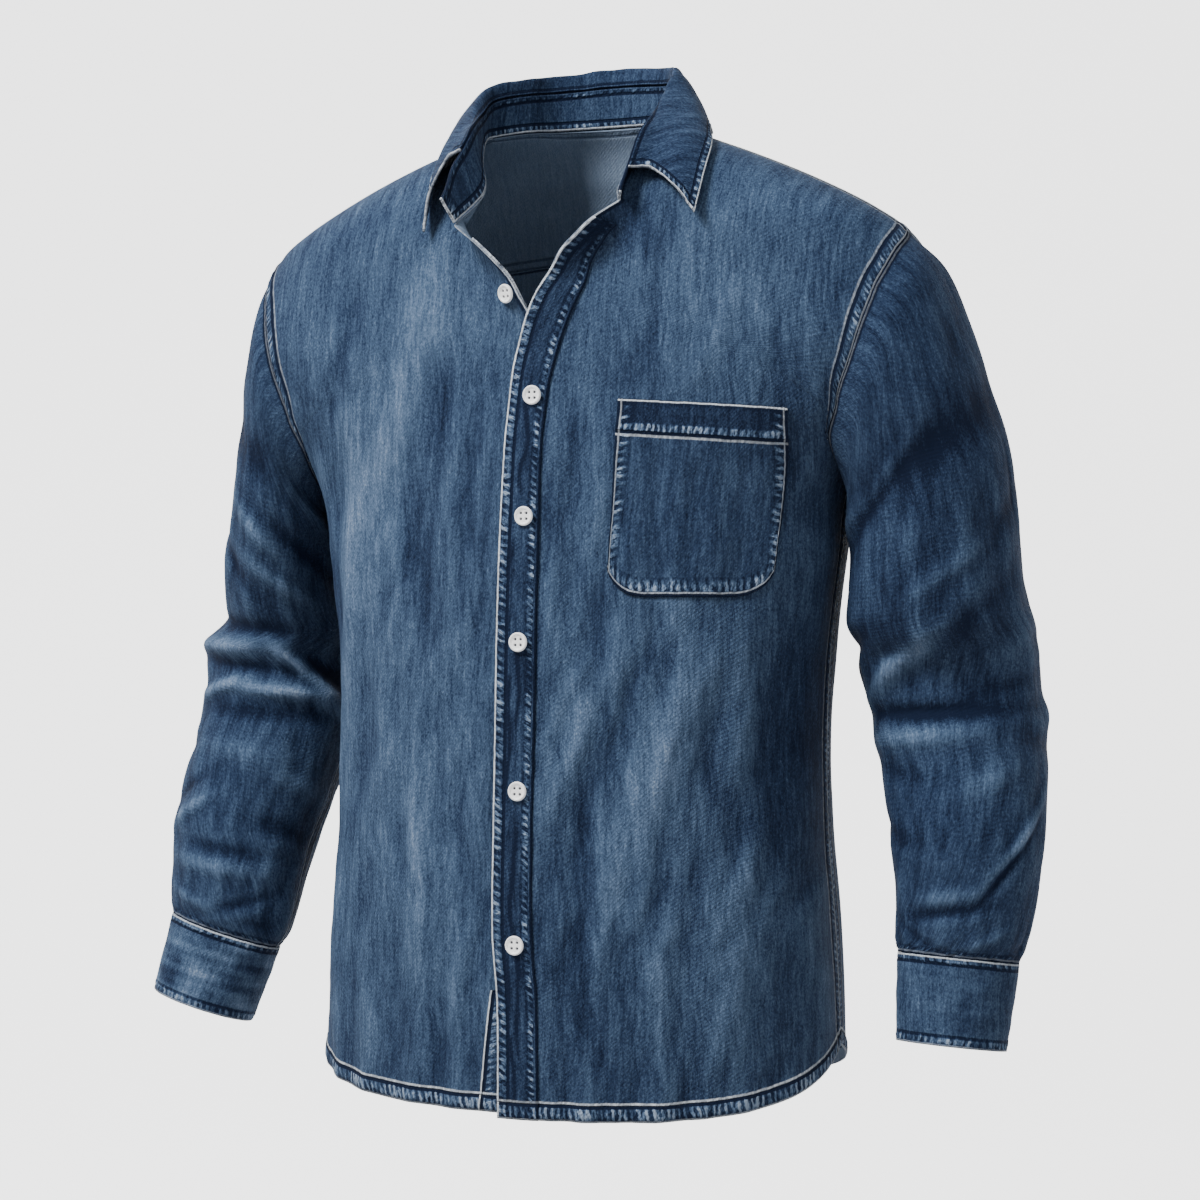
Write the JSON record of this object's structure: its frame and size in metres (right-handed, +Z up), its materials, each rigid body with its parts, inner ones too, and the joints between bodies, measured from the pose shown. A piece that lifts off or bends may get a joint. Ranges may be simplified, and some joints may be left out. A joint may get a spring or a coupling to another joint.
{
  "type": "long-sleeved shirt",
  "caption": "Denim shirt in a hollow worn form, open at the neck, with a turned-down collar, buttoned front, chest pocket, long sleeves with cuffs and a curved hem.",
  "frame": {"origin": "on the torso's upright axis, at the height where the neck meets the shoulders", "axes": "+X to the wearer's left, -Y out of the chest, +Z up"},
  "size_m": [0.7013, 0.2625, 0.7989],
  "materials": {
    "denim": "washed indigo twill, faded in patches, matt",
    "denim_trim": "the same denim doubled at the edges, worn pale on its seams",
    "button_shell": "white, lightly polished"
  },
  "bodies": {
    "root": {"front_right": "denim", "front_left": "denim", "back": "denim", "yoke": "denim", "sleeve_left": "denim", "sleeve_right": "denim", "placket": "denim_trim", "button_stand": "denim_trim", "cuff_left": "denim_trim", "cuff_right": "denim_trim", "collar_stand": "denim_trim", "collar_leaf": "denim_trim", "pocket": "denim_trim", "button_1": "button_shell", "button_2": "button_shell", "button_3": "button_shell", "button_4": "button_shell", "button_5": "button_shell", "button_neck": "button_shell", "button_collar": "button_shell", "button_cuff_left": "button_shell", "button_cuff_right": "button_shell"}
  },
  "joints": []
}
